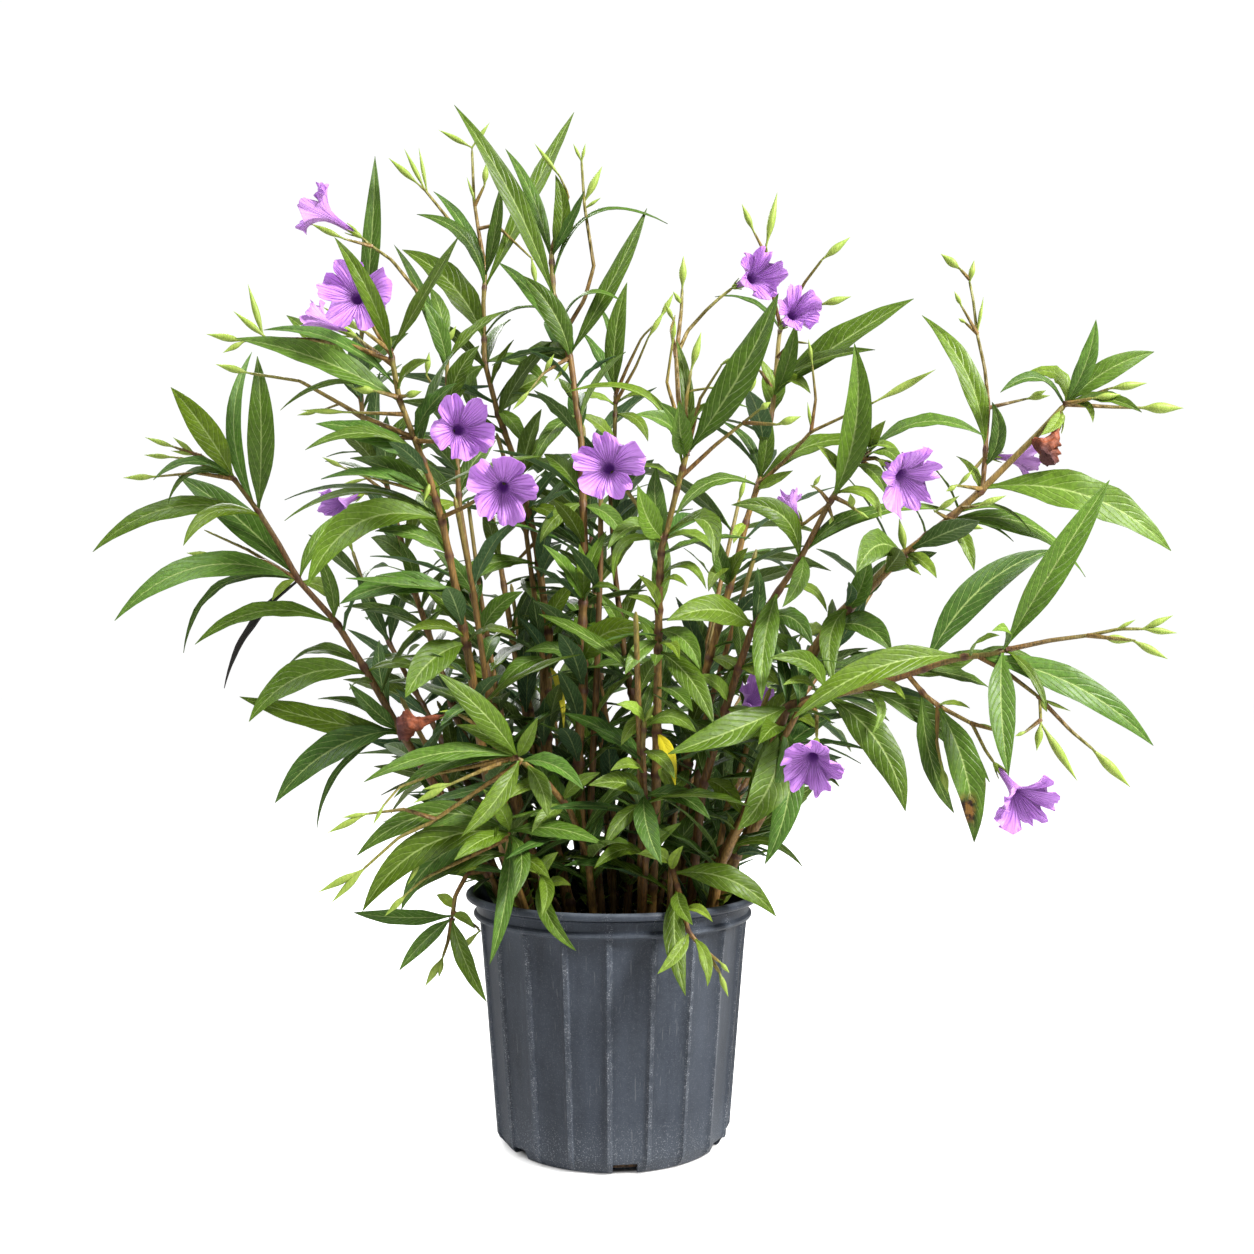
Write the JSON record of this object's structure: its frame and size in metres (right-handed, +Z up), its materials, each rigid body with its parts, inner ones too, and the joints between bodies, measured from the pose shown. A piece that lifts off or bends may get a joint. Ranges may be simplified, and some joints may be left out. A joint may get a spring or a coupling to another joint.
{
  "type": "potted ruellia",
  "caption": "Bushy ruellia with long narrow leaves, upright and arching stems, slim buds and lilac funnel flowers, standing in a ribbed nursery pot full of soil.",
  "frame": {"origin": "centre of the underside of the pot, on the surface it stands on", "axes": "+Z up, the picture's right is +X, and the viewer stands at -Y"},
  "size_m": [0.9664, 0.6427, 1.0309],
  "materials": {
    "pot_plastic": "weathered black plastic, dusty and scuffed pale on its ridges",
    "potting_mix": "dark crumbly bark and peat",
    "foliage": "satin green leaves with pale ribs on brown and green stems",
    "petals": "thin crinkled lilac petals with darker veins",
    "dried_petals": "shrivelled brown petals"
  },
  "bodies": {
    "root": {"bloom_01": "petals", "bloom_02": "petals", "bloom_03": "petals", "bloom_04": "petals", "bloom_05": "petals", "bloom_06": "petals", "bloom_07": "petals", "bloom_08": "petals", "bloom_09": "petals", "bloom_10": "petals", "bloom_11": "petals", "bloom_12": "petals", "bloom_13": "petals", "bloom_14": "petals", "bloom_15": "petals", "dried_bloom_left": "dried_petals", "dried_bloom_right": "dried_petals", "pot": "pot_plastic", "shoot_back_centre": "foliage", "shoot_back_left": "foliage", "shoot_back_right": "foliage", "shoot_centre_back": "foliage", "shoot_centre_front": "foliage", "shoot_centre_tall": "foliage", "shoot_far_left": "foliage", "shoot_far_right": "foliage", "shoot_front_centre": "foliage", "shoot_front_sprout": "foliage", "shoot_left_back": "foliage", "shoot_left_front": "foliage", "shoot_left_long": "foliage", "shoot_left_middle": "foliage", "shoot_low_front": "foliage", "shoot_low_left": "foliage", "shoot_over_rim_front": "foliage", "shoot_over_rim_left": "foliage", "shoot_rear_low": "foliage", "shoot_rear_right": "foliage", "shoot_right_long": "foliage", "shoot_right_low": "foliage", "shoot_right_middle": "foliage", "shoot_right_upper": "foliage", "shoot_upper_left": "foliage", "soil": "potting_mix"}
  },
  "joints": []
}
